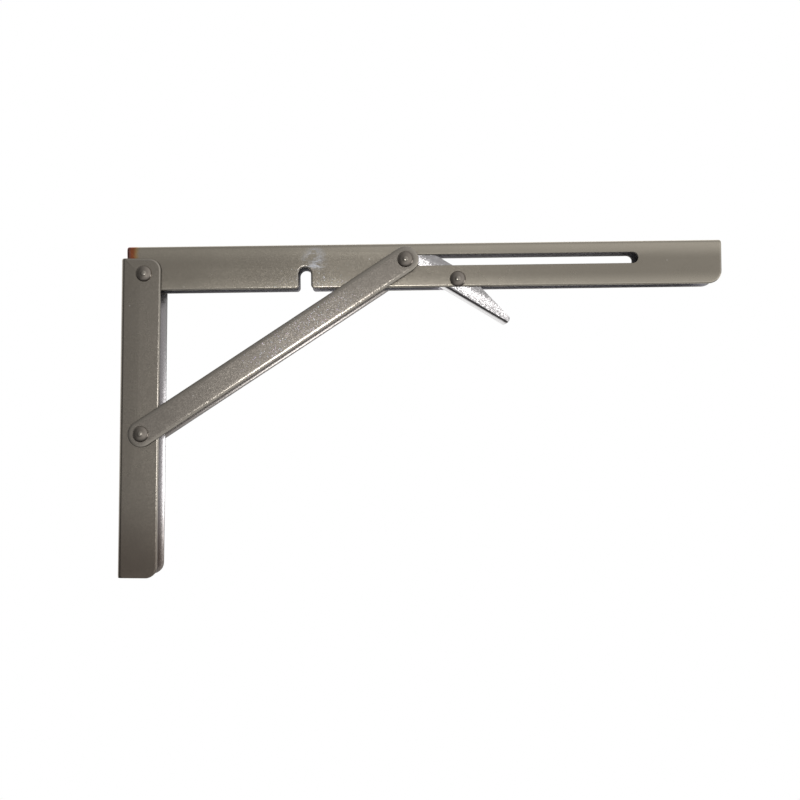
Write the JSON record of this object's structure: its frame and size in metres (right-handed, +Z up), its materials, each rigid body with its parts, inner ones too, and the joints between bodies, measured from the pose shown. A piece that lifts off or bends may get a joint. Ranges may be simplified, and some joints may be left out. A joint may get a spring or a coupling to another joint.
{
  "type": "folding shelf bracket",
  "caption": "Folding wall bracket: a slotted shelf channel hinged to a wall channel, propped by a sliding brace and locked by a sprung release lever.",
  "frame": {"origin": "on the wall face, in the bracket's middle plane, level with the corner rivet on which the shelf arm turns", "axes": "+X leads out from the wall under the shelf, +Z is up the wall, +Y runs across the bracket, away from a viewer who has the shelf on the right"},
  "size_m": [0.3028, 0.0328, 0.174],
  "materials": {
    "arm_steel": "satin",
    "bar_steel": "satin",
    "lever_steel": "satin",
    "rivet_steel": "satin",
    "spring_steel": "satin"
  },
  "bodies": {
    "wall": {"wall_arm": "arm_steel", "corner_rivet": "rivet_steel"},
    "shelf": {"shelf_arm": "arm_steel", "lever_rivet": "rivet_steel", "lever_spring": "spring_steel"},
    "brace": {"brace_bar_front": "bar_steel", "brace_bar_rear": "bar_steel", "brace_foot_rivet": "rivet_steel", "brace_head_rivet_front": "rivet_steel", "brace_head_rivet_rear": "rivet_steel"},
    "pin": {"slide_pin": "rivet_steel"},
    "lever": {"release_lever": "lever_steel"}
  },
  "joints": [
    {"name": "shelf_fold", "type": "hinge", "parent": "wall", "child": "shelf", "pos_m": [0.0114, 0, 0], "axis": [0, 1, 0], "range_deg": [0, 90.5]},
    {"name": "brace_swing", "type": "hinge", "parent": "wall", "child": "brace", "pos_m": [0.0111, 0, -0.0805], "axis": [0, 1, 0], "range_deg": [0, 120.71]},
    {"name": "pin_slide", "type": "slide", "parent": "shelf", "child": "pin", "axis": [0.9997, 0, 0.0253], "range_m": [0, 0.10784]},
    {"name": "lever_press", "type": "hinge", "parent": "shelf", "child": "lever", "pos_m": [0.16916, 0, -0.00051], "axis": [0, -1, 0], "range_deg": [0, 22], "stiffness_Nm_per_rad": 0.25, "springref_deg": -20.05, "deforming": ["lever_spring"]}
  ],
  "couplings": [
    {"joint": "brace_swing", "follows": "shelf_fold", "ratio": 1.3336},
    {"joint": "pin_slide", "follows": "shelf_fold", "m_per_rad": 0.068264}
  ]
}
